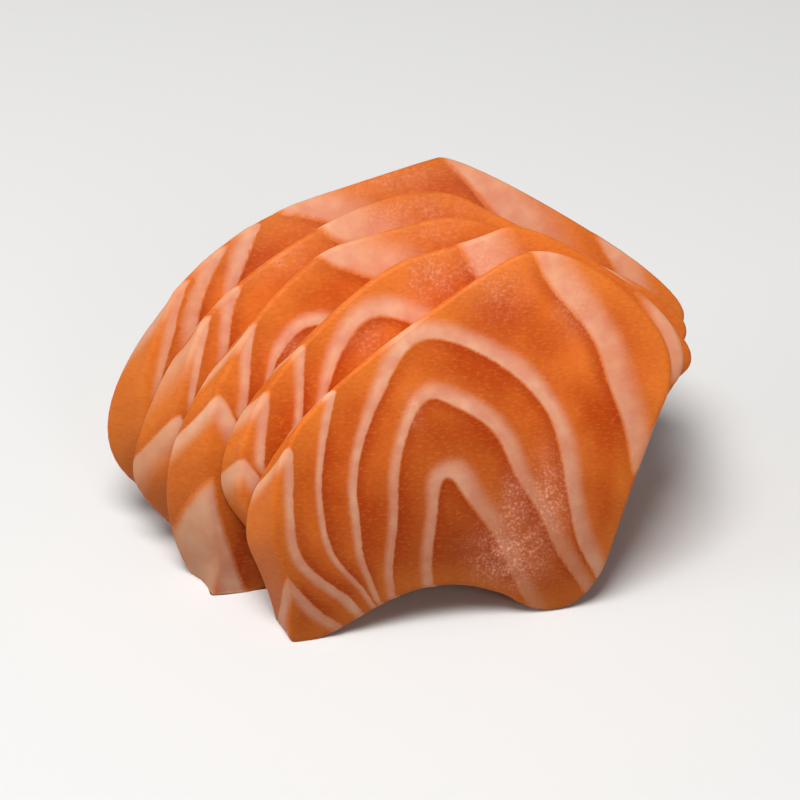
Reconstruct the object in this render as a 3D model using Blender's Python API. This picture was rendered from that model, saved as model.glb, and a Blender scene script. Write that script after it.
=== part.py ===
"""Salmon sashimi: slices of raw salmon that lean back on each other in a fan.

The slices are laid on nested shells that curl back like the leaves of a book. Each slice is a
slab with an outline of its own, rounded rims and a slanting cut along its lower left side.
X runs to the right along the front slice, Y runs back and Z up, in metres.
"""

import math

import bmesh
import bpy
import numpy as np

MM = 0.001

# The stack: how the slices lie on each other (millimetres and degrees).
SLICE_THICKNESS = 5.7
SLICE_GAP = 0.3
SHELL_RADIUS = 90.0        # the front slice curls back along an arc of this radius
FOOT_LEAN = 82.0           # slope of the front face at the surface it stands on
FAN_TURN = 8.5             # the right end of the fan lies this much further back

# The slab: how each slice is cut.
RIM_RADIUS = 1.1           # rounding of both edges of the rim
KNIFE_SIDE = (-0.98, -0.17)   # on this side the rim slants in towards the front face
KNIFE_SPAN = (0.56, 0.94)  # the slant starts and is full at these cosines to that side
LIP_SIDE = (-0.6, 0.8)     # on this side the front face overhangs the rear one
KNIFE_EASE = 6.0           # the cut's slant changes gently over this far along the outline
SPINE = ((6.0, 20.0), (38.0, 28.0))   # middle line of the face: across, up

# Each slice, from the rear one to the front one: how far its rim slants in and its front face
# overhangs, and the (across, up) corners of its outline, which a quadratic curve rounds off:
# toe, heel, elbow and flank up its left side, brow and peak along the top, and the right
# shoulder. The lower right corners follow from the slice's place in the fan.
SLICES = {
    "slice_1": {
        "slant": 5.7, "lip": 0.0,
        "corners": ((-7.0, -2.5), (-11.5, -1.0), (-28.5, 16.5), (-6.5, 45.0),
                    (25.5, 53.0), (31.0, 54.0), (65.0, 27.5)),
    },
    "slice_2": {
        "slant": 5.7, "lip": 0.0,
        "corners": ((-6.5, -5.0), (-19.0, 7.5), (-22.0, 16.5), (-9.0, 39.0),
                    (23.5, 54.5), (38.0, 44.5), (63.5, 29.0)),
    },
    "slice_3": {
        "slant": 5.7, "lip": 0.0,
        "corners": ((-4.0, -1.0), (-14.5, -3.5), (-18.5, 21.5), (4.5, 46.5),
                    (16.5, 49.5), (31.5, 51.5), (63.0, 28.5)),
    },
    "slice_4": {
        "slant": 2.0, "lip": 0.0,
        "corners": ((1.0, -5.0), (-2.5, 5.5), (-13.0, 23.0), (13.5, 48.0),
                    (28.0, 50.0), (36.5, 53.0), (59.5, 33.5)),
    },
    "slice_5": {
        "slant": 4.2, "lip": 1.0,
        "corners": ((-3.0, -3.5), (-4.5, 6.0), (-8.5, 17.5), (2.0, 32.5),
                    (24.0, 46.0), (38.5, 53.0), (55.5, 36.5)),
    },
}
FRONT_HIP = (47.5, 21.5)   # right side of the front slice
FRONT_FOOT = (38.5, -4.5)  # lower right tip of the front slice
HIP_GROWTH = 2.2           # how much wider each slice further back is, at the hip and the foot
FOOT_GROWTH = 1.3
ARCH = (19.5, 9.3)         # the lower edge arches up clear of the plate here

# Fineness of the mesh.
OUTLINE_POINTS = 64
CORNER_STEPS = 8
ROUNDING_STEPS = 3
FACE_RINGS = (0.3, 0.55, 0.8)    # shares of the way from the rim to the spine

FLESH_COLOUR = (0.82, 0.24, 0.06, 1.0)
FLESH_ROUGHNESS = 0.35


def clear_scene():
    for obj in list(bpy.data.objects):
        bpy.data.objects.remove(obj, do_unlink=True)


def flesh_material(name):
    """Raw salmon flesh: moist, translucent orange."""
    material = bpy.data.materials.new(name)
    material.use_nodes = True
    shader = material.node_tree.nodes["Principled BSDF"]
    shader.inputs["Base Color"].default_value = FLESH_COLOUR
    shader.inputs["Roughness"].default_value = FLESH_ROUGHNESS
    shader.inputs["Metallic"].default_value = 0.0
    return material


def all_corners(corners, steps_back):
    """The drawn corners and the three that follow from the slice's place in the fan."""
    hip = (FRONT_HIP[0] + HIP_GROWTH * steps_back, FRONT_HIP[1])
    foot = (FRONT_FOOT[0] + FOOT_GROWTH * steps_back, FRONT_FOOT[1])
    return np.array([*corners, hip, foot, ARCH])


def rounded_outline(corners):
    """A closed curve: at each corner a quadratic arc from one side's middle to the next's."""
    points = []
    for before, corner, after in zip(np.roll(corners, 1, 0), corners, np.roll(corners, -1, 0)):
        start = (before + corner) / 2
        end = (corner + after) / 2
        for step in range(CORNER_STEPS):
            t = step / CORNER_STEPS
            points.append((1 - t) ** 2 * start + 2 * t * (1 - t) * corner + t * t * end)
    return evenly_spaced(np.array(points))


def evenly_spaced(points):
    """The same closed curve with OUTLINE_POINTS points at equal distances."""
    closed = np.vstack([points, points[:1]])
    lengths = np.linalg.norm(np.diff(closed, axis=0), axis=1)
    along = np.concatenate([[0.0], np.cumsum(lengths)])
    places = np.linspace(0.0, along[-1], OUTLINE_POINTS, endpoint=False)
    return np.stack([np.interp(places, along, closed[:, axis]) for axis in (0, 1)], 1)


def outward_normals(outline, reach):
    """Unit normals of a clockwise closed curve, square to chords that reach so many points."""
    tangents = np.roll(outline, -reach, 0) - np.roll(outline, reach, 0)
    normals = np.stack([-tangents[:, 1], tangents[:, 0]], 1)
    return normals / np.linalg.norm(normals, axis=1, keepdims=True)


def paths_to_spine(outline):
    """For each outline point, the vector from it to the nearest point of the spine."""
    start, end = (np.array(point) for point in SPINE)
    spine = end - start
    share = np.clip((outline - start) @ spine / (spine @ spine), 0.0, 1.0)
    return start + share[:, None] * spine - outline


def section_rings():
    """Rings from the front face round the rim to the back: (depth, rim inset, share inward)."""
    turns = [math.pi / 2 * step / ROUNDING_STEPS for step in range(ROUNDING_STEPS + 1)]
    rim = [(RIM_RADIUS * (1 - math.cos(turn)), RIM_RADIUS * (1 - math.sin(turn))) for turn in turns]
    front = [(0.0, RIM_RADIUS, share) for share in reversed(FACE_RINGS)]
    front += [(depth, inset, 0.0) for depth, inset in rim]
    back = [(SLICE_THICKNESS - depth, inset, share) for depth, inset, share in reversed(front)]
    return front + back


def place(across, up, front_depth, depth):
    """A point of the stack in millimetres: up runs along the slice's front face, depth into it."""
    lean = math.radians(FOOT_LEAN)
    turn = math.radians(FAN_TURN)
    centre_back = SHELL_RADIUS * math.sin(lean)
    centre_down = SHELL_RADIUS * math.cos(lean)
    front_radius = SHELL_RADIUS - front_depth
    radius = front_radius - depth
    angle = math.asin(centre_down / front_radius) + up / front_radius
    back = centre_back - radius * math.cos(angle)
    height = radius * math.sin(angle) - centre_down
    x = across * math.cos(turn) - back * math.sin(turn)
    y = across * math.sin(turn) + back * math.cos(turn)
    return x, y, max(height, 0.0)


def front_inset(name, outline):
    """How far the front edge lies inside the rear edge, at each point of the outline."""
    reach = round(KNIFE_EASE / np.linalg.norm(outline[1] - outline[0]))
    normals = outward_normals(outline, reach)
    start, full = KNIFE_SPAN
    facing_knife = np.clip((normals @ np.array(KNIFE_SIDE) - start) / (full - start), 0.0, 1.0)
    facing_lip = np.clip(normals @ np.array(LIP_SIDE), 0.0, 1.0)
    return SLICES[name]["slant"] * facing_knife - SLICES[name]["lip"] * facing_lip


def slice_rings(name, steps_back):
    """The slab as rings of points in millimetres, each ring one closed loop."""
    outline = rounded_outline(all_corners(SLICES[name]["corners"], steps_back))
    bevel = front_inset(name, outline)
    front_depth = steps_back * (SLICE_THICKNESS + SLICE_GAP)
    inward = paths_to_spine(outline)
    reach = np.linalg.norm(inward, axis=1)
    rings = []
    for depth, rim_inset, share in section_rings():
        inset = rim_inset + bevel * (1.0 - depth / SLICE_THICKNESS)
        part_way = inset / reach
        part_way += (1.0 - part_way) * share
        flat = outline + inward * part_way[:, None]
        rings.append([place(u, v, front_depth, depth) for u, v in flat])
    return np.array(rings)


def footprint_middle(slabs):
    """The middle of the fan's footprint box, on the surface that it stands on."""
    points = np.concatenate([rings.reshape(-1, 3) for rings in slabs.values()])
    middle = (points.min(axis=0) + points.max(axis=0)) / 2
    return np.array([middle[0], middle[1], 0.0])


def cap(bm, loop_edges):
    """Closes the narrow strip that is left round the spine."""
    strip = bmesh.ops.contextual_create(bm, geom=loop_edges)["faces"]
    bmesh.ops.triangulate(bm, faces=strip)


def build_slice(name, rings):
    """A named object from the slab's rings, which are in metres."""
    bm = bmesh.new()
    loops = []
    for ring in rings:
        verts = [bm.verts.new(point) for point in ring]
        loops.append([bm.edges.new(pair) for pair in zip(verts, verts[1:] + verts[:1])])
    for near, far in zip(loops, loops[1:]):
        bmesh.ops.bridge_loops(bm, edges=near + far)
    cap(bm, loops[0])
    cap(bm, loops[-1])
    bmesh.ops.recalc_face_normals(bm, faces=bm.faces)

    mesh = bpy.data.meshes.new(name)
    bm.to_mesh(mesh)
    bm.free()
    mesh.materials.append(flesh_material(name + "_flesh"))
    mesh.shade_smooth()
    bpy.context.scene.collection.objects.link(bpy.data.objects.new(name, mesh))


def main():
    clear_scene()
    slabs = {name: slice_rings(name, steps) for steps, name in enumerate(reversed(SLICES))}
    origin = footprint_middle(slabs)
    for name, rings in slabs.items():
        build_slice(name, (rings - origin) * MM)


main()
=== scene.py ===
import math

import bmesh
import bpy
import numpy as np
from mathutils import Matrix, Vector


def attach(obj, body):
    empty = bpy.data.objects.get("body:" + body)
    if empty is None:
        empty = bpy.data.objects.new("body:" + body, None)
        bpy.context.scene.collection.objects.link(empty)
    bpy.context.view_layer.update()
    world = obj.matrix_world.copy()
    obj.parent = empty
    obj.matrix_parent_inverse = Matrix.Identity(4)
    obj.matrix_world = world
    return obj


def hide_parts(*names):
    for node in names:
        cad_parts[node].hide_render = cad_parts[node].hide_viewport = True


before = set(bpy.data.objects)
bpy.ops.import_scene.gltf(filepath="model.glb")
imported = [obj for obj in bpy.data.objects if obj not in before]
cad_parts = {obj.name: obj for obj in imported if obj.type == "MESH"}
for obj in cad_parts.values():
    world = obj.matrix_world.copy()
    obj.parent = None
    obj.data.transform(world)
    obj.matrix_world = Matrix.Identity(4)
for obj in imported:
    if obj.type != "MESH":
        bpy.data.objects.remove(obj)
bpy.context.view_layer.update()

# Salmon sashimi: slices of raw salmon that lean back on each other in a fan. Each slice is made
# flat in a block of its own (across, up and depth in millimetres), gets its fat lines there,
# and is then laid on its shell of the curved stack.

MM = 0.001

# The stack, in millimetres and degrees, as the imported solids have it.
SLICE_THICKNESS = 5.7
PITCH = 6.0                # from one slice's front face to the next one's
SHELL_RADIUS = 90.0        # the front slice curls back along an arc of this radius
FOOT_LEAN = 82.0           # slope of the front face at the surface it stands on
FAN_TURN = 8.5             # the right end of the fan lies this much further back
KNIFE_SIDE = (-0.98, -0.17)    # on this side the rim slants in towards the front face
KNIFE_SPAN = (0.56, 0.94)  # the slant starts and is full at these cosines to that side
LIP_SIDE = (-0.6, 0.8)     # on this side the front face overhangs the rear one
KNIFE_EASE = 6.0           # the cut's slant changes gently over this far along the outline
SPINE = ((6.0, 20.0), (38.0, 28.0))    # middle line of the face: across, up
FRONT_HIP = (47.5, 21.5)   # right side of the front slice
FRONT_FOOT = (38.5, -4.5)  # lower right tip of the front slice
HIP_GROWTH = 2.2           # how much wider each slice further back is, at the hip and the foot
FOOT_GROWTH = 1.3
ARCH = (19.5, 9.3)         # the lower edge arches up clear of the surface here

# Each slice, rear to front: the slant of its rim and the corners of its outline. Its fat lies
# like that of the front slice, but lifted by a factor and shifted: the marks tell how far across
# the arches of FRONT_MARKS are met here, and "sheets" how thick each is. The shoulder sheet
# differs most, so each slice has its inner side and, as "patch", its widths at left leg, crown
# and right leg. The outer sheets that cross a slice's left edge are given as "crossing": width,
# whiteness and inner side. Down the rim all sheets slant along the outline, by "drift"
# millimetres for each millimetre of depth.
SLICES = {
    "slice_1": {
        "slant": 5.7, "lip": 0.0,
        "corners": ((-7.0, -2.5), (-11.5, -1.0), (-28.5, 16.5), (-6.5, 45.0),
                    (25.5, 53.0), (31.0, 54.0), (65.0, 27.5)),
        "lift": 1.08, "marks": (-32.0, -15.0, -10.6, -6.0, 0.0, 7.0, 20.0, 32.5, 42.0, 70.0),
        "sheets": (1.0, 1.0, 1.0, 1.0, 1.2, 0.8), "drift": 1.5,
        "shoulder": ((3.0, -6.0), (1.0, 4.5), (-5.0, 12.5), (-7.5, 21.0), (-6.2, 28.0),
                     (-4.3, 33.0), (-2.6, 37.5), (-0.9, 41.0), (1.2, 44.6), (3.3, 47.0),
                     (6.5, 46.3), (11.0, 44.5), (16.0, 41.5), (23.0, 34.0), (30.0, 20.0),
                     (36.0, 6.0), (40.0, -8.0)),
        "patch": (1.3, 3.2, 5.5), "crossing": {},
    },
    "slice_2": {
        "slant": 5.7, "lip": 0.0,
        "corners": ((-6.5, -5.0), (-19.0, 7.5), (-22.0, 16.5), (-9.0, 39.0),
                    (23.5, 54.5), (38.0, 44.5), (63.5, 29.0)),
        "lift": 1.1, "marks": (-31.0, -13.8, -10.6, -6.5, -0.5, 7.0, 22.0, 40.0, 50.0, 74.0),
        "sheets": (1.0, 1.0, 1.0, 1.0, 0.9, 1.0), "drift": 1.4,
        "shoulder": ((4.0, -6.0), (2.0, 4.5), (-4.0, 12.5), (-7.0, 21.0), (-6.6, 29.0),
                     (-5.2, 34.0), (-3.6, 38.5), (-1.0, 43.0), (2.0, 49.5), (5.0, 52.0),
                     (8.0, 49.5), (9.6, 46.0), (13.0, 43.5), (19.0, 40.0), (26.0, 30.0),
                     (33.0, 15.0), (38.0, 2.0), (40.0, -8.0)),
        "patch": (1.6, 6.0, 7.0),
        "crossing": {5: (2.8, 0.9, ((0.0, -6.0), (-3.0, 2.0), (-6.5, 9.0), (-9.5, 15.0),
                                    (-11.8, 20.5), (-13.6, 25.0), (-16.5, 31.0)))},
    },
    "slice_3": {
        "slant": 5.7, "lip": 0.0,
        "corners": ((-4.0, -1.0), (-14.5, -3.5), (-18.5, 21.5), (4.5, 46.5),
                    (16.5, 49.5), (31.5, 51.5), (63.0, 28.5)),
        "lift": 1.1, "marks": (-28.0, -10.5, -7.8, -4.6, -1.8, 6.6, 21.0, 39.0, 49.0, 74.0),
        "sheets": (1.0, 1.0, 0.7, 1.0, 1.0, 1.0), "drift": 1.5,
        "shoulder": ((4.0, -6.0), (2.0, 4.5), (-3.0, 12.5), (-5.2, 21.0), (-5.0, 28.5),
                     (-3.4, 34.0), (-0.5, 40.0), (1.5, 45.5), (4.0, 50.0), (6.8, 48.5),
                     (8.0, 45.2), (13.5, 43.0), (17.5, 41.0), (22.0, 36.0), (27.0, 28.0),
                     (33.0, 15.0), (38.0, 2.0), (40.0, -8.0)),
        "patch": (1.6, 5.0, 6.4),
        "crossing": {4: (2.4, 1.0, ((6.0, -6.0), (4.0, 4.0), (0.0, 12.0), (-3.0, 19.0),
                                    (-5.8, 25.0), (-7.8, 28.6), (-10.0, 31.5), (-13.0, 35.0))),
                     5: (4.2, 1.0, ((-1.0, -6.0), (-4.8, -2.0), (-7.4, 2.5), (-8.7, 7.5),
                                    (-9.2, 13.0), (-9.7, 18.2), (-11.2, 22.5), (-13.5, 27.5)))},
    },
    "slice_4": {
        "slant": 2.0, "lip": 0.0,
        "corners": ((1.0, -5.0), (-2.5, 5.5), (-13.0, 23.0), (13.5, 48.0),
                    (28.0, 50.0), (36.5, 53.0), (59.5, 33.5)),
        "lift": 1.0, "marks": (-25.0, -6.4, -2.7, 2.6, 7.0, 14.2, 28.0, 44.0, 54.0, 76.0),
        "sheets": (1.0, 1.0, 1.1, 1.0, 1.3, 1.0), "drift": 0.7,
        "shoulder": ((8.0, -6.0), (6.5, 4.5), (2.6, 12.5), (1.3, 21.0), (2.2, 30.0),
                     (3.6, 36.5), (7.5, 45.0), (12.0, 53.0), (20.0, 55.5), (24.7, 52.0),
                     (26.2, 48.5), (29.0, 44.0), (33.0, 38.0), (36.0, 29.0), (41.0, 15.0),
                     (46.0, 2.0), (48.0, -8.0)),
        "patch": (1.5, 6.5, 6.5),
        "crossing": {5: (2.3, 0.95, ((9.0, -6.0), (6.0, 2.0), (2.8, 9.0), (0.0, 14.2),
                                     (-2.6, 18.7), (-5.2, 22.7), (-7.7, 26.2), (-11.0, 31.0)))},
    },
    "slice_5": {
        "slant": 4.2, "lip": 1.0,
        "corners": ((-3.0, -3.5), (-4.5, 6.0), (-8.5, 17.5), (2.0, 32.5),
                    (24.0, 46.0), (38.5, 53.0), (55.5, 36.5)),
        "lift": 1.0, "marks": (-20.0, -2.6, 1.8, 6.8, 12.0, 20.0, 34.0, 50.0, 58.0, 80.0),
        "sheets": (1.0, 1.0, 1.0, 1.0, 1.0, 1.0), "drift": 1.4,
        "shoulder": ((12.4, -6.0), (10.4, 4.5), (4.6, 12.5), (3.1, 21.0), (4.6, 30.0),
                     (7.6, 37.5), (12.0, 47.0), (20.0, 58.0), (30.0, 60.0), (34.2, 52.0),
                     (36.0, 47.0), (39.5, 41.5), (43.2, 35.0), (44.5, 28.0), (47.0, 15.0),
                     (51.0, 2.0), (53.0, -8.0)),
        "patch": (1.2, 5.2, 3.6),
        "crossing": {4: (1.4, 0.9, ((12.2, -6.0), (8.2, 4.4), (2.6, 9.5), (-0.4, 15.5),
                                    (-0.8, 21.0), (-0.2, 25.2), (0.1, 28.6), (-1.6, 34.0))),
                     5: (1.7, 0.8, ((10.7, -6.0), (6.1, 1.4), (1.3, 5.4), (-1.2, 9.5),
                                    (-2.3, 13.5), (-3.6, 17.5), (-6.5, 22.5)))},
    },
}

# The fat sheets between the muscle flakes show as nested arches, here as the front slice has
# them. Each is a quadratic curve along the sheet's inner side, from its left foot over its
# crown to its right foot, with the sheet's width in millimetres and its whiteness at the left
# foot, the left leg, the crown and the right leg. The fourth, the shoulder sheet, has its inner
# side and its widths in SLICES.
FAT_ARCHES = (
    {"widths": (1.5, 1.6, 3.0, 2.4), "white": (0.75, 0.85, 0.95, 0.35),
     "corners": ((18.2, -6.0), (17.9, 8.0), (18.4, 15.5), (20.2, 24.0), (23.5, 17.0),
                 (27.0, 11.0), (31.5, 0.0), (34.0, -8.0))},
    {"widths": (1.2, 1.5, 2.5, 2.1), "white": (0.75, 0.85, 1.0, 0.5),
     "corners": ((12.9, -6.0), (12.8, 8.0), (13.3, 19.0), (15.3, 29.0), (18.6, 34.4),
                 (23.5, 30.5), (28.8, 25.0), (31.2, 18.0), (34.5, 11.5), (39.0, 3.0),
                 (41.5, -8.0))},
    {"widths": (0.9, 1.4, 2.9, 2.3), "white": (0.85, 0.9, 1.0, 0.85),
     "corners": ((12.6, -6.0), (10.6, 6.0), (8.2, 13.5), (8.2, 22.5), (10.6, 31.9),
                 (16.3, 39.6), (20.3, 41.2), (26.8, 38.2), (33.0, 32.6), (36.3, 27.0),
                 (36.8, 14.0), (41.0, 3.5), (45.0, -8.0))},
    {"widths": None, "white": (0.9, 0.9, 0.9, 0.75), "corners": None},
    {"widths": (1.4, 1.3, 3.0, 5.0), "white": (0.9, 0.9, 0.8, 0.8),
     "corners": ((12.2, -6.0), (8.6, 4.4), (4.2, 9.5), (1.6, 15.5), (0.8, 22.0),
                 (1.4, 28.5), (3.6, 36.0), (9.0, 46.0), (16.1, 54.0), (27.2, 62.0),
                 (41.7, 61.6), (49.7, 51.8), (55.2, 39.7), (58.1, 26.2), (62.1, 4.3),
                 (64.0, -8.6))},
    {"widths": (2.0, 1.3, 3.0, 4.0), "white": (0.6, 0.7, 0.8, 0.8),
     "corners": ((10.7, -6.0), (6.3, 2.2), (1.3, 7.0), (-1.6, 12.5), (-3.1, 19.5),
                 (-2.8, 27.0), (1.6, 38.9), (11.0, 54.0), (26.3, 68.9), (46.6, 67.6),
                 (58.8, 53.8), (65.2, 38.8), (69.1, 21.2), (72.1, 4.3), (74.0, -8.6))},
)
# How far across the front slice has them, for the marks of the others.
FRONT_MARKS = (-20.0, -2.6, 1.8, 6.8, 12.0, 20.0, 34.0, 50.0, 58.0, 80.0)
MARK_EASE = 1.5            # the shift at the marks is evened out over this far on both sides
ALONG_ARCH = (0.08, 0.3, 0.5, 0.75)    # where on an arch its foot, leg, crown and leg are
SHOULDER_FOOT = 0.8        # width of the shoulder sheet at its left foot
OUTER_SPACING = 7.0        # distance between further arches outside the last one
INNER_SPACING = 9.0        # fade of the flesh inside the first one
INNERMOST_PHASE = 0.1      # where that fade ends
LEAST_SPACING = 0.4        # sheets lie at least this far apart
MOST_FILLED = 0.8          # a sheet takes up at most this share of the way to the next one
WAVER = 0.35               # the arches waver by this much
WAVER_LENGTHS = (14.0, 12.0)   # sideways over the first length, up and down over the second
WAVER_STEP = 7.0           # each slice reads the noise for it this much further on
PATTERN_RADIUS = 28.0      # half the breadth of a slice, for the turn of its back's pattern

# Where a slice is wet, smoother and with a painted sheen and glints: across, up, how far it
# reaches both ways, and how strong.
WET_AND_SHEEN_SPOTS = {
    "slice_1": ((20.0, 51.0, 8.0, 2.5, 0.3),),
    "slice_2": ((22.0, 48.0, 8.0, 2.5, 0.35), (3.0, 43.5, 4.0, 2.5, 0.3)),
    "slice_3": ((2.5, 34.5, 2.5, 1.5, 0.5), (24.0, 48.5, 5.0, 2.0, 0.3)),
    "slice_4": ((22.0, 45.5, 4.0, 3.5, 0.55), (29.5, 47.0, 4.0, 2.5, 0.6),
                (12.0, 38.0, 3.0, 2.0, 0.45)),
    "slice_5": ((30.0, 46.5, 4.0, 3.5, 0.4), (40.0, 44.0, 2.5, 4.0, 0.5),
                (29.5, 16.5, 2.0, 4.0, 0.9), (34.5, 17.5, 2.5, 5.5, 0.9),
                (29.0, 10.0, 4.5, 4.0, 1.0), (16.5, 31.5, 1.2, 2.0, 0.7)),
}

# Fineness of the meshes.
COLUMNS = 400              # round the outline
FACE_ROWS = 38             # from the rim to the spine
ROW_EASE = 0.9             # below 1, rows lie a little closer towards the spine
INNERMOST_SHARE = 0.975    # the last row lies this share of the way in to the spine
ROUNDING_ROWS = 5          # on each rounded edge of the rim
WALL_ROWS = 9              # between the two
CORNER_STEPS = 12          # round each corner of an outline or an arch
SEAM_GAP = 1e-5            # vertices closer than this are merged
PLACE_DIGITS = 4           # so many decimals of its place tell a vertex from all others

# Relief, in millimetres.
RIM_RADIUS = 0.8
FAT_RELIEF = 0.10          # fat stands proud of the cut face by this much
FAT_RISE = 0.4             # it rises over this far at a sheet's inner side
FAT_FALL = 1.4             # and falls off to nothing at this many widths
SWELL = 0.03               # height of the soft unevenness of the faces
SWELL_LENGTH = 9.0         # which changes over this far
SWELL_STRETCH = (1.0, 1.0, 0.5)    # and half as fast through the slices

# A soft noise is a sum of this many waves. Each has the noise's length divided by a number
# between these two.
NOISE_WAVES = 9
NOISE_SPREAD = (0.5, 1.3)

# Colours of raw farmed salmon, and of the light and shade painted on it.
FLESH_DEEP = "#bc480c"
FLESH_LIGHT = "#de6e24"
# Partly painted shade: the deeper flesh inside the arches.
FLESH_HEART_AND_SHADE = "#96380c"
# Partly painted shade: the redder flesh against the next sheet.
FLESH_RED_AND_SHADE = "#ac3a0c"
FLESH_PALE = "#de7833"
# Painted glow of light through thin flesh at the rim and edges.
FLESH_PAINTED_GLOW = "#e07c2c"
FLECK_LIGHT = "#e8883a"
FLECK_DARK = "#9c380c"
FAT_PINK = "#dc967a"
FAT_PALE = "#e6ad8c"
FAT_RIM = "#e2aa80"
# Painted light on wet spots: a sheen and glints.
PAINTED_SHEEN = "#e08866"
PAINTED_GLINT = "#f2b898"

# Soft patterns of the flesh: size in millimetres, the part of the noise's range that is used,
# and the values that this part is turned into.
PATTERNS = {
    "flesh patches": (11.11, (0.35, 0.68), (0.0, 1.0)),
    "fat patches": (2.857, (0.35, 0.65), (0.0, 1.0)),
    "fat fullness": (6.25, (0.3, 0.6), (0.78, 1.0)),
    "wet clumps": (1.667, (0.36, 0.6), (0.35, 1.0)),
}
NOTCHES = 1.111            # millimetres from one notch to the next along the edges of the fat
NOTCH_DEPTH = 0.35         # millimetres from the highest to the lowest
FIBRES = (0.7692, 0.3571, 1.4286)  # a fibre's millimetres across, up and through the slices
FIBRE_TURN = 0.35          # and how far it is turned on the face, in radians
GRAINS = 0.4348            # millimetres from one wet grain of the surface to the next
FINE_ROUGHNESS = 0.6       # the notches and the grains are rougher than the other noises
NOISE_MIDDLE = 0.5

# Where the flesh changes its colour: where the change starts and where it is full. A share is
# the most of the new colour that is laid on.
CRISP_SIDE = (0.0, 0.2)    # inner side of the fat, in widths of the sheet
SOFT_SIDE = (1.35, 0.5)    # its outer side, from none to full
SEEPED = (2.3, 1.1)        # fat has seeped into the flesh behind the sheet
SEEPED_SHARE = 0.3
HEART_AND_SHADE = (3.0, 0.7)         # the flesh inside the arches is deeper, partly its own colour and partly painted shade, counted in sheets
HEART_AND_SHADE_SHARE = 0.65
RED_AND_SHADE = (2.0, 0.0)           # and redder over these last millimetres before a sheet, partly its own colour and partly painted shade along the raised fat
RED_AND_SHADE_SHARE = 0.65
EDGE_GLOW = (5.0, 0.0)     # painted glow of light coming through, over this many millimetres inside a face's edge
EDGE_SHARE = 0.5
LIGHT_FLECKS = (0.52, 0.75)    # values of the fibre noise
LIGHT_SHARE = 0.32
DARK_FLECKS = (0.46, 0.28)
DARK_SHARE = 0.18
# Painted sheen and painted glints on wet spots.
PAINTED_SHEEN_SHARE = 0.42
PAINTED_GLINT_RANGE = (0.45, 0.68)      # values of the grain noise for the painted glints
PAINTED_GLINT_SHARE = 0.7
# Painted shade, darker towards the foot and the rear of the fan.
FOOT_SHADE = (2.0, 36.0)   # millimetres up a slice, from the painted shade at the foot to full colour
FOOT_SHADE_LEVEL = 0.62
REAR_SHADE = (5.0, 30.0)   # millimetres into the stack, from full colour to the painted shade at the rear
REAR_SHADE_LEVEL = 0.86

# Moist raw flesh: from where it is dry to where it is wet, and how light spreads in it.
ROUGHNESS = (0.42, 0.26)
SPECULAR_LEVEL = (0.12, 0.4)
IOR = 1.4
GLOW_WEIGHT = 0.25
GLOW_COLOURS = (1.0, 0.35, 0.12)   # red light goes furthest
GLOW_DEPTH = 0.0015        # in metres

# Floor, light and camera, in metres and watts.
BOARD = "#dedddb"
BOARD_ROUGHNESS = 0.8
FLOOR_SIZE = 2.0
DAYLIGHT = "#f4f6f8"
DAYLIGHT_STRENGTH = 0.15
AIM = Vector((0.0, 0.0, 0.019))
SOFT_BOXES = (             # name, place, size and power
    ("high soft box", (-0.12, -0.17, 0.78), 0.4, 6.9),
    ("front soft box", (0.35, -0.75, 0.5), 0.3, 0.8),
    ("left soft box", (-0.62, -0.12, 0.28), 0.3, 1.0),
)
CAMERA_PLACE = (-0.0099, -0.3044, 0.234)
CAMERA_LENS = 118.0        # millimetres


def hex_colour(code):
    """sRGB hex to linear red, green, blue, alpha."""
    values = [int(code[i:i + 2], 16) / 255 for i in (1, 3, 5)]
    linear = [v / 12.92 if v <= 0.04045 else ((v + 0.055) / 1.055) ** 2.4 for v in values]
    return (*linear, 1.0)


# ---- form of the slices -------------------------------------------------------------------

def rounded_curve(corners, closed):
    """From each side's middle to the next one's, round the corner between them."""
    corners = np.array(corners, float)
    if closed:
        before, after = np.roll(corners, 1, 0), np.roll(corners, -1, 0)
        middle = corners
    else:
        before, middle, after = corners[:-2], corners[1:-1], corners[2:]
    points = []
    for p, q, r in zip(before, middle, after):
        start, end = (p + q) / 2, (q + r) / 2
        for t in np.arange(CORNER_STEPS) / CORNER_STEPS:
            points.append((1 - t) ** 2 * start + 2 * t * (1 - t) * q + t * t * end)
    return np.array(points)


def evenly_spaced(points, count):
    """The same closed curve with that many points at equal distances."""
    loop = np.vstack([points, points[:1]])
    along = np.concatenate([[0.0], np.cumsum(np.linalg.norm(np.diff(loop, axis=0), axis=1))])
    places = np.linspace(0.0, along[-1], count, endpoint=False)
    return np.stack([np.interp(places, along, loop[:, axis]) for axis in (0, 1)], 1)


def slice_outline(name, steps_back):
    """The rear edge of a slice, clockwise as the front shows it."""
    hip = (FRONT_HIP[0] + HIP_GROWTH * steps_back, FRONT_HIP[1])
    foot = (FRONT_FOOT[0] + FOOT_GROWTH * steps_back, FRONT_FOOT[1])
    corners = (*SLICES[name]["corners"], hip, foot, ARCH)
    return evenly_spaced(rounded_curve(corners, closed=True), COLUMNS)


def moved_along(ring, distance):
    """The points of a ring, each moved on that far along it."""
    step = np.linalg.norm(ring[1] - ring[0])
    columns = (np.arange(COLUMNS) + distance / step) % COLUMNS
    low = np.floor(columns).astype(int)
    mix = (columns - low)[:, None]
    return ring[low % COLUMNS] * (1 - mix) + ring[(low + 1) % COLUMNS] * mix


def turned(points, distance):
    """Points turned clockwise about the spine's middle, so far on as that is in mid-slice."""
    angle = distance / PATTERN_RADIUS
    middle = np.mean(SPINE, axis=0)
    across, up = (points - middle).T
    return middle + np.stack([across * math.cos(angle) + up * math.sin(angle),
                              up * math.cos(angle) - across * math.sin(angle)], 1)


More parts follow.
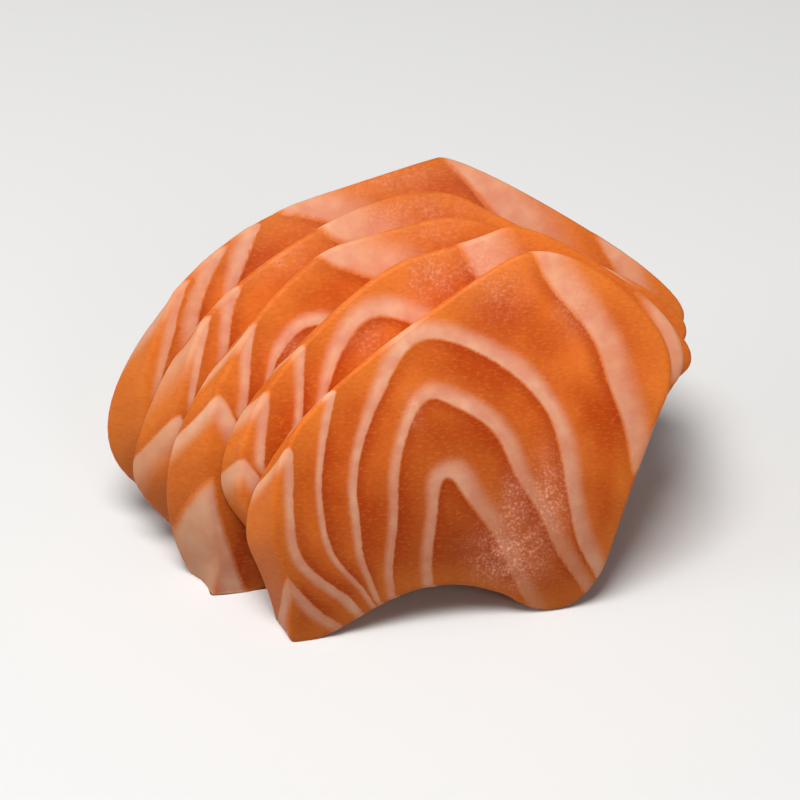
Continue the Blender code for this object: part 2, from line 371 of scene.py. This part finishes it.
def outward_normals(outline, reach):
    """Unit normals of a clockwise closed curve, square to chords that reach so many points."""
    tangents = np.roll(outline, -reach, 0) - np.roll(outline, reach, 0)
    normals = np.stack([-tangents[:, 1], tangents[:, 0]], 1)
    return normals / np.linalg.norm(normals, axis=1, keepdims=True)


def paths_to_spine(outline):
    """For each outline point, the vector from it to the nearest point of the spine."""
    start, end = (np.array(point) for point in SPINE)
    spine = end - start
    share = np.clip((outline - start) @ spine / (spine @ spine), 0.0, 1.0)
    return start + share[:, None] * spine - outline


def section_rows():
    """Rows from the front face round the rim to the back: (depth, rim inset, share inward)."""
    turns = np.linspace(0.0, math.pi / 2, ROUNDING_ROWS + 1)
    front = [(0.0, RIM_RADIUS, share) for share in
             INNERMOST_SHARE * (1.0 - np.arange(FACE_ROWS) / FACE_ROWS) ** ROW_EASE]
    front += [(RIM_RADIUS * (1 - math.cos(t)), RIM_RADIUS * (1 - math.sin(t)), 0.0) for t in turns]
    wall = [(depth, 0.0, 0.0) for depth in
            np.linspace(RIM_RADIUS, SLICE_THICKNESS - RIM_RADIUS, WALL_ROWS + 2)[1:-1]]
    back = [(SLICE_THICKNESS - depth, inset, share) for depth, inset, share in reversed(front)]
    return np.array(front + wall + back)


def front_inset(name, outline):
    """How far the front edge lies inside the rear edge, at each point of the outline."""
    reach = round(KNIFE_EASE / np.linalg.norm(outline[1] - outline[0]))
    normals = outward_normals(outline, reach)
    start, full = KNIFE_SPAN
    facing_knife = np.clip((normals @ np.array(KNIFE_SIDE) - start) / (full - start), 0.0, 1.0)
    facing_lip = np.clip(normals @ np.array(LIP_SIDE), 0.0, 1.0)
    return SLICES[name]["slant"] * facing_knife - SLICES[name]["lip"] * facing_lip


def slice_points(name, steps_back):
    """Rows and columns of the flat slice, and for each point what tells the flesh there.

    That is the face point whose fat it shows, how far round the rim it lies, and how far
    inside the face's edge.
    """
    outline = slice_outline(name, steps_back)
    bevel = front_inset(name, outline)
    inward = paths_to_spine(outline)
    reach = np.linalg.norm(inward, axis=1)

    def ring_at(inset, share):
        part_way = inset / reach
        part_way += (1.0 - part_way) * share
        return outline + inward * part_way[:, None]

    flat, grain, rim, edge = [], [], [], []
    for depth, rim_inset, share in section_rows():
        inset = rim_inset + bevel * (1.0 - depth / SLICE_THICKNESS)
        flat.append(np.column_stack([ring_at(inset, share), np.full(COLUMNS, depth)]))
        drift = SLICES[name]["drift"] * depth
        shown_at_rim = moved_along(ring_at(RIM_RADIUS + bevel, 0.0), drift)
        grain.append(shown_at_rim + (turned(outline + inward, drift) - shown_at_rim) * share)
        rim.append(np.full(COLUMNS, 1.0 - rim_inset / RIM_RADIUS if share == 0 else 0.0))
        edge.append(share * (reach - inset))
    return np.array(flat), np.array(grain), np.array(rim), np.array(edge)


def lay_on_stack(points, front_depth):
    """Block points (across, up, depth) to the curved stack: up runs along the front face."""
    lean, turn = math.radians(FOOT_LEAN), math.radians(FAN_TURN)
    centre_back, centre_down = SHELL_RADIUS * math.sin(lean), SHELL_RADIUS * math.cos(lean)
    across, up, depth = points.T
    front_radius = SHELL_RADIUS - front_depth
    radius = front_radius - depth
    angle = np.arcsin(centre_down / front_radius) + up / front_radius
    back = centre_back - radius * np.cos(angle)
    height = radius * np.sin(angle) - centre_down
    x = across * math.cos(turn) - back * math.sin(turn)
    y = across * math.sin(turn) + back * math.cos(turn)
    return np.stack([x, y, np.maximum(height, 0.0)], 1)


# ---- fat arches ----------------------------------------------------------------------------

def soft_noise(points, size, seed):
    """Smooth values of about -1 to 1 that change over that many millimetres."""
    rng = np.random.default_rng(seed)
    total = np.zeros(len(points))
    for _ in range(NOISE_WAVES):
        direction = rng.normal(size=points.shape[1])
        direction *= 2 * math.pi / size * rng.uniform(*NOISE_SPREAD) / np.linalg.norm(direction)
        total += np.sin(points @ direction + rng.uniform(0, 2 * math.pi))
    return total / math.sqrt(NOISE_WAVES)


def distance_to_curve(points, curve, *along):
    """Signed distance (outside is positive) to an open curve, and what changes along it."""
    best = np.full(len(points), np.inf)
    signed = np.zeros(len(points))
    place = np.zeros(len(points))
    length = len(curve) - 1
    for i in range(length):
        start, side = curve[i], curve[i + 1] - curve[i]
        offset = points - start
        share = np.clip(offset @ side / (side @ side), 0.0, 1.0)
        gap = offset - share[:, None] * side
        distance = np.einsum("ij,ij->i", gap, gap)
        nearer = distance < best
        best[nearer] = distance[nearer]
        cross = side[0] * offset[:, 1] - side[1] * offset[:, 0]
        signed[nearer] = np.sign(cross[nearer])
        place[nearer] = ((i + share) / length)[nearer]
    return signed * np.sqrt(best), *[np.interp(place, ALONG_ARCH, values) for values in along]


def fat_sheets(points, name):
    """Which fat sheet a face point of this slice lies at: whole numbers on the inner sides.

    Also gives the millimetres from one sheet to the next there, and the width and whiteness
    of the sheet.
    """
    form = SLICES[name]
    across = np.mean([np.interp(points[:, 0] + shift, form["marks"], FRONT_MARKS)
                      for shift in (-MARK_EASE, 0.0, MARK_EASE)], axis=0)
    as_front = np.stack([across, points[:, 1] * form["lift"]], 1)
    found = []
    for i, (arch, thickness) in enumerate(zip(FAT_ARCHES, form["sheets"])):
        whites = arch["white"]
        if arch["corners"] is None:
            place, corners, widths = points, form["shoulder"], (SHOULDER_FOOT, *form["patch"])
        elif i in form["crossing"]:
            sheet_width, sheet_white, corners = form["crossing"][i]
            place, widths, whites = points, (sheet_width,) * 4, (sheet_white,) * 4
        else:
            place, corners, widths = as_front, arch["corners"], arch["widths"]
        distance, width, white = distance_to_curve(
            place, rounded_curve(corners, closed=False), widths, whites)
        found.append((distance, width * thickness, white))
    phase = 1.0 - (1.0 - INNERMOST_PHASE) * np.clip(-found[0][0] / INNER_SPACING, 0.0, 1.0)
    spacing = np.full(len(points), INNER_SPACING)
    width, white = found[0][1].copy(), found[0][2].copy()
    for i, (distance, sheet_width, sheet_white) in enumerate(found):
        beyond = distance >= 0
        if i + 1 < len(found):
            step = np.maximum(distance - found[i + 1][0], LEAST_SPACING)
            share = np.minimum(distance / step, 1.0)
        else:
            step = np.full(len(points), OUTER_SPACING)
            share = distance / step
        phase[beyond] = i + 1 + share[beyond]
        spacing[beyond] = step[beyond]
        width[beyond] = np.minimum(sheet_width, MOST_FILLED * step)[beyond]
        white[beyond] = sheet_white[beyond]
    return phase, spacing, width, white


# ---- meshes --------------------------------------------------------------------------------

def sleeve(points):
    """A sheet of rows and columns that is wrapped round and closed at both ends."""
    rows, columns = points.shape[:2]
    bm = bmesh.new()
    bmesh.ops.create_grid(bm, x_segments=columns, y_segments=rows - 1, size=1.0)
    for vert in bm.verts:      # the grid reaches from -1 to 1 both ways
        column = round((vert.co.x + 1.0) / 2.0 * columns)
        row = round((vert.co.y + 1.0) / 2.0 * (rows - 1))
        vert.co = points[row, column % columns]
    bmesh.ops.remove_doubles(bm, verts=bm.verts, dist=SEAM_GAP)
    rims = [edge for edge in bm.edges if edge.is_boundary]
    caps = bmesh.ops.holes_fill(bm, edges=rims, sides=0)["faces"]
    bmesh.ops.triangulate(bm, faces=caps)
    bmesh.ops.recalc_face_normals(bm, faces=bm.faces)
    return bm


def read_vectors(items, key):
    """One vector of each of a mesh's items, as rows of an array."""
    values = np.empty(len(items) * 3, "f")
    items.foreach_get(key, values)
    return values.reshape(-1, 3)


def add_values(mesh, name, values):
    """Stores a number or a vector for each vertex, for the material to read."""
    kind = "FLOAT" if values.ndim == 1 else "FLOAT_VECTOR"
    layer = mesh.attributes.new(name, kind, "POINT")
    layer.data.foreach_set("value" if values.ndim == 1 else "vector", values.astype("f").ravel())


def wetness(name, block):
    """How wet the slice's face is at each point, with its painted sheen and glints: soft round
    spots.
    """
    wet = np.zeros(len(block))
    for across, up, reach_across, reach_up, strength in WET_AND_SHEEN_SPOTS[name]:
        aside = (block[:, 0] - across) / reach_across
        above = (block[:, 1] - up) / reach_up
        wet = np.maximum(wet, strength * np.exp(-(aside ** 2 + above ** 2)))
    return wet


def make_slice(name, steps_back, origin):
    """One slice as a closed mesh on its shell, with what its material reads at each vertex."""
    flat, grain, rim, edge = slice_points(name, steps_back)
    bm = sleeve(flat)
    mesh = bpy.data.meshes.new(name + "_flesh")
    bm.to_mesh(mesh)
    bm.free()

    # The sleeve's seam is merged, so each vertex looks up its row and column by its place.
    block = read_vectors(mesh.vertices, "co").astype(float)
    normals = read_vectors(mesh.vertex_normals, "vector")
    places = flat.reshape(-1, 3).astype("f").astype(float)
    lookup = {tuple(np.round(place, PLACE_DIGITS)): i for i, place in enumerate(places)}
    order = np.array([lookup[tuple(np.round(place, PLACE_DIGITS))] for place in block])

    shown = grain.reshape(-1, 2)[order]
    stirred = np.column_stack([shown, np.full(len(block), WAVER_STEP * steps_back)])
    waver = WAVER * np.column_stack([soft_noise(stirred, WAVER_LENGTHS[0], seed=3),
                                     soft_noise(stirred, WAVER_LENGTHS[1], seed=4)])
    phase, spacing, width, white = fat_sheets(shown + waver, name)
    beyond = (phase - np.floor(phase)) * spacing
    fat = np.clip(beyond / FAT_RISE, 0, 1) * np.clip(FAT_FALL - beyond / width, 0, 1) * white

    front_depth = steps_back * PITCH
    stack_block = block + [0.0, 0.0, front_depth]
    swell = soft_noise(stack_block * SWELL_STRETCH, SWELL_LENGTH, seed=8) * np.abs(normals[:, 2])
    lifted = block + normals * (FAT_RELIEF * fat + SWELL * swell)[:, None]
    placed = (lay_on_stack(lifted, front_depth) - origin) * MM
    mesh.vertices.foreach_set("co", placed.astype("f").ravel())
    mesh.flip_normals()        # the block's axes are a mirror image of the stack's

    for key, values in {
        "block": stack_block, "phase": phase, "spacing": spacing, "line_width": width,
        "white": white, "rim": rim.reshape(-1)[order], "edge": edge.reshape(-1)[order],
        "wet": wetness(name, block) * np.clip(-normals[:, 2], 0.0, 1.0),
    }.items():
        add_values(mesh, key, values)
    mesh.shade_smooth()
    mesh.update()
    piece = bpy.data.objects.new(name + "_flesh", mesh)
    bpy.context.scene.collection.objects.link(piece)
    return piece


def stack_origin():
    """The middle of the fan's footprint box, where the frame has its origin."""
    points = np.vstack([
        lay_on_stack(slice_points(name, steps_back)[0].reshape(-1, 3), steps_back * PITCH)
        for steps_back, name in enumerate(reversed(SLICES))])
    low, high = points.min(0), points.max(0)
    return np.array([(low[0] + high[0]) / 2, (low[1] + high[1]) / 2, 0.0])


# ---- materials -----------------------------------------------------------------------------

def add_node(tree, kind, settings=None, links=None):
    """Adds a node, sets its properties and inputs, links other inputs, gives its output."""
    node = tree.nodes.new(kind)
    for key, value in (settings or {}).items():
        if isinstance(key, str) and hasattr(node, key):
            setattr(node, key, value)
        else:                  # the name or number of an input
            node.inputs[key].default_value = value
    for key, output in (links or {}).items():
        tree.links.new(output, node.inputs[key])
    return next(socket for socket in node.outputs if socket.enabled)


def raw_salmon():
    """Raw farmed salmon, cut with a knife: moist translucent flakes between pale fat sheets."""
    material = bpy.data.materials.new("raw salmon, knife cut")
    material.use_nodes = True
    tree = material.node_tree
    shader = tree.nodes["Principled BSDF"]
    attribute, maths, ramp = "ShaderNodeAttribute", "ShaderNodeMath", "ShaderNodeMapRange"
    mix, noise, vector_maths = "ShaderNodeMix", "ShaderNodeTexNoise", "ShaderNodeVectorMath"
    colour_a, colour_b = 6, 7      # a mix node's two colour inputs

    values = {
        name: add_node(tree, attribute, {"attribute_name": name}).node.outputs["Fac"]
        for name in ("phase", "spacing", "line_width", "white", "rim", "edge", "wet")}
    block = add_node(tree, attribute, {"attribute_name": "block"}).node.outputs["Vector"]
    patterns = {}
    for name, (size, used, turned_into) in PATTERNS.items():
        patterns[name] = add_node(tree, ramp, {
            "From Min": used[0], "From Max": used[1],
            "To Min": turned_into[0], "To Max": turned_into[1],
        }, {"Value": add_node(tree, noise, {"Scale": 1 / size}, {"Vector": block})})

    # Knife and fibres leave the edges of the fat a little ragged, so the place among the sheets
    # is stirred by a fine noise before it is read.
    stir = add_node(tree, noise, {"Scale": 1 / NOTCHES, "Roughness": FINE_ROUGHNESS},
                    {"Vector": block})
    stir = add_node(tree, maths, {"operation": "SUBTRACT", 1: NOISE_MIDDLE}, {0: stir})
    stir = add_node(tree, maths, {"operation": "MULTIPLY", 1: NOTCH_DEPTH}, {0: stir})
    stir = add_node(tree, maths, {"operation": "DIVIDE"}, {0: stir, 1: values["spacing"]})
    phase = add_node(tree, maths, {"operation": "ADD"}, {0: values["phase"], 1: stir})
    part = add_node(tree, maths, {"operation": "FRACT"}, {0: phase})
    beyond = add_node(tree, maths, {"operation": "MULTIPLY"}, {0: part, 1: values["spacing"]})
    to_next = add_node(tree, maths, {"operation": "SUBTRACT"}, {0: values["spacing"], 1: beyond})
    widths = add_node(tree, maths, {"operation": "DIVIDE"}, {0: beyond, 1: values["line_width"]})

    # Fat: a crisp inner side, less so where the sheet is cut flat and wide, a soft outer side.
    fat = add_node(tree, ramp, {
        "interpolation_type": "SMOOTHSTEP",
        "From Min": CRISP_SIDE[0], "From Max": CRISP_SIDE[1]}, {"Value": widths})
    soft = add_node(tree, ramp, {
        "interpolation_type": "SMOOTHSTEP",
        "From Min": SOFT_SIDE[0], "From Max": SOFT_SIDE[1]}, {"Value": widths})
    for share in (soft, values["white"], patterns["fat fullness"]):
        fat = add_node(tree, maths, {"operation": "MULTIPLY"}, {0: fat, 1: share})

    # Flesh: deep orange, lighter and darker in soft patches, deeper inside the arches and reddest
    # against the next sheet, both partly its own colour and partly painted shade, and paler behind
    # the last one, where fat has seeped into it.
    heart_and_shade = add_node(tree, ramp, {
        "From Min": HEART_AND_SHADE[0], "From Max": HEART_AND_SHADE[1], "To Max": HEART_AND_SHADE_SHARE,
    }, {"Value": values["phase"]})
    red_and_shade = add_node(tree, ramp, {
        "interpolation_type": "SMOOTHSTEP",
        "From Min": RED_AND_SHADE[0], "From Max": RED_AND_SHADE[1], "To Max": RED_AND_SHADE_SHARE}, {"Value": to_next})
    seeped = add_node(tree, ramp, {
        "From Min": SEEPED[0], "From Max": SEEPED[1], "To Max": SEEPED_SHARE,
    }, {"Value": widths})

    # Painted glow: thin flesh at the rim and along the face's edges is painted lighter for the
    # light that comes through it.
    near_edge = add_node(tree, ramp, {
        "interpolation_type": "SMOOTHSTEP",
        "From Min": EDGE_GLOW[0], "From Max": EDGE_GLOW[1], "To Max": EDGE_SHARE,
    }, {"Value": values["edge"]})
    at_rim = add_node(tree, maths, {"operation": "MULTIPLY", 1: EDGE_SHARE}, {0: values["rim"]})
    painted_glow = add_node(tree, maths, {"operation": "MAXIMUM"}, {0: near_edge, 1: at_rim})

    # Fibres: ends on the cut face, threads down the rim. Light and dark flecks of both.
    threads = add_node(tree, "ShaderNodeMapping", {
        "Rotation": (0.0, 0.0, FIBRE_TURN), "Scale": [1 / size for size in FIBRES],
    }, {"Vector": block})
    threads = add_node(tree, noise, {"Scale": 1.0}, {"Vector": threads})
    bright = add_node(tree, ramp, {
        "From Min": LIGHT_FLECKS[0], "From Max": LIGHT_FLECKS[1], "To Max": LIGHT_SHARE,
    }, {"Value": threads})
    dark = add_node(tree, ramp, {
        "From Min": DARK_FLECKS[0], "From Max": DARK_FLECKS[1], "To Max": DARK_SHARE,
    }, {"Value": threads})

    flesh = add_node(tree, mix, {
        "data_type": "RGBA",
        colour_a: hex_colour(FLESH_DEEP), colour_b: hex_colour(FLESH_LIGHT),
    }, {"Factor": patterns["flesh patches"]})
    for share, colour in ((heart_and_shade, FLESH_HEART_AND_SHADE), (red_and_shade, FLESH_RED_AND_SHADE), (seeped, FLESH_PALE),
                          (painted_glow, FLESH_PAINTED_GLOW), (bright, FLECK_LIGHT), (dark, FLECK_DARK)):
        flesh = add_node(tree, mix, {"data_type": "RGBA", colour_b: hex_colour(colour)},
                         {"Factor": share, colour_a: flesh})

    fat_colour = add_node(tree, mix, {
        "data_type": "RGBA", colour_a: hex_colour(FAT_PINK), colour_b: hex_colour(FAT_PALE),
    }, {"Factor": patterns["fat patches"]})
    fat_colour = add_node(tree, mix, {"data_type": "RGBA", colour_b: hex_colour(FAT_RIM)},
                          {"Factor": at_rim, colour_a: fat_colour})
    skin = add_node(tree, mix, {"data_type": "RGBA"},
                    {"Factor": fat, colour_a: flesh, colour_b: fat_colour})

    # Painted shade: towards the foot and the rear of the fan the flesh is painted darker.
    places = add_node(tree, "ShaderNodeSeparateXYZ", links={"Vector": block}).node.outputs
    painted_foot_shade = add_node(tree, ramp, {
        "interpolation_type": "SMOOTHSTEP",
        "From Min": FOOT_SHADE[0], "From Max": FOOT_SHADE[1], "To Min": FOOT_SHADE_LEVEL,
    }, {"Value": places["Y"]})
    painted_rear_shade = add_node(tree, ramp, {
        "From Min": REAR_SHADE[0], "From Max": REAR_SHADE[1],
        "To Min": 1.0, "To Max": REAR_SHADE_LEVEL}, {"Value": places["Z"]})
    painted_shade = add_node(tree, maths, {"operation": "MULTIPLY"}, {0: painted_foot_shade, 1: painted_rear_shade})
    skin = add_node(tree, vector_maths, {"operation": "SCALE"}, {0: skin, "Scale": painted_shade})

    # Wet spots: a painted pink sheen in small clumps, with painted glints on grains of the surface.
    wet = add_node(tree, maths, {"operation": "MULTIPLY"},
                   {0: values["wet"], 1: patterns["wet clumps"]})
    painted_sheen = add_node(tree, maths, {"operation": "MULTIPLY", 1: PAINTED_SHEEN_SHARE}, {0: wet})
    grains = add_node(tree, noise, {"Scale": 1 / GRAINS, "Roughness": FINE_ROUGHNESS},
                      {"Vector": block})
    painted_glint = add_node(tree, ramp, {
        "interpolation_type": "SMOOTHSTEP",
        "From Min": PAINTED_GLINT_RANGE[0], "From Max": PAINTED_GLINT_RANGE[1], "To Max": PAINTED_GLINT_SHARE}, {"Value": grains})
    painted_glint = add_node(tree, maths, {"operation": "MULTIPLY"}, {0: painted_glint, 1: wet})
    for share, colour in ((painted_sheen, PAINTED_SHEEN), (painted_glint, PAINTED_GLINT)):
        skin = add_node(tree, mix, {"data_type": "RGBA", colour_b: hex_colour(colour)},
                        {"Factor": share, colour_a: skin})
    tree.links.new(skin, shader.inputs["Base Color"])

    # Where the flesh is wet it is smoother and reflects more.
    for key, (dry, moist) in {"Roughness": ROUGHNESS, "Specular IOR Level": SPECULAR_LEVEL}.items():
        level = add_node(tree, ramp, {"To Min": dry, "To Max": moist}, {"Value": wet})
        tree.links.new(level, shader.inputs[key])
    shader.inputs["IOR"].default_value = IOR
    shader.inputs["Subsurface Weight"].default_value = GLOW_WEIGHT
    shader.inputs["Subsurface Radius"].default_value = GLOW_COLOURS
    shader.inputs["Subsurface Scale"].default_value = GLOW_DEPTH
    return material


def pale_board():
    """A matt pale surface to stand on."""
    material = bpy.data.materials.new("matt pale board")
    material.use_nodes = True
    shader = material.node_tree.nodes["Principled BSDF"]
    shader.inputs["Base Color"].default_value = hex_colour(BOARD)
    shader.inputs["Roughness"].default_value = BOARD_ROUGHNESS
    return material


# ---- the fan -------------------------------------------------------------------------------

flesh_material = raw_salmon()
origin = stack_origin()
for steps_back, name in enumerate(reversed(SLICES)):
    piece = make_slice(name, steps_back, origin)
    piece.data.materials.append(flesh_material)
    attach(piece, "root")
    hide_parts(name)

# ---- floor, light and camera ---------------------------------------------------------------

floor_bm = bmesh.new()
bmesh.ops.create_grid(floor_bm, x_segments=1, y_segments=1, size=FLOOR_SIZE)
floor_mesh = bpy.data.meshes.new("floor")
floor_bm.to_mesh(floor_mesh)
floor_bm.free()
floor_mesh.materials.append(pale_board())
floor = bpy.data.objects.new("floor", floor_mesh)
bpy.context.scene.collection.objects.link(floor)


def soft_box(name, place, size, power):
    """A square studio light that faces the fan."""
    data = bpy.data.lights.new(name, "AREA")
    data.size = size
    data.energy = power
    light = bpy.data.objects.new(name, data)
    light.location = place
    light.rotation_euler = (AIM - Vector(place)).to_track_quat("-Z", "Y").to_euler()
    bpy.context.scene.collection.objects.link(light)


for name, place, size, power in SOFT_BOXES:
    soft_box(name, place, size, power)

world = bpy.data.worlds.new("studio")
world.use_nodes = True
background = world.node_tree.nodes["Background"]
background.inputs["Color"].default_value = hex_colour(DAYLIGHT)
background.inputs["Strength"].default_value = DAYLIGHT_STRENGTH
bpy.context.scene.world = world
bpy.context.scene.view_settings.view_transform = "Standard"

camera_data = bpy.data.cameras.new("camera")
camera_data.lens = CAMERA_LENS
camera = bpy.data.objects.new("camera", camera_data)
camera.location = CAMERA_PLACE
camera.rotation_euler = (AIM - camera.location).to_track_quat("-Z", "Y").to_euler()
bpy.context.scene.collection.objects.link(camera)
bpy.context.scene.camera = camera
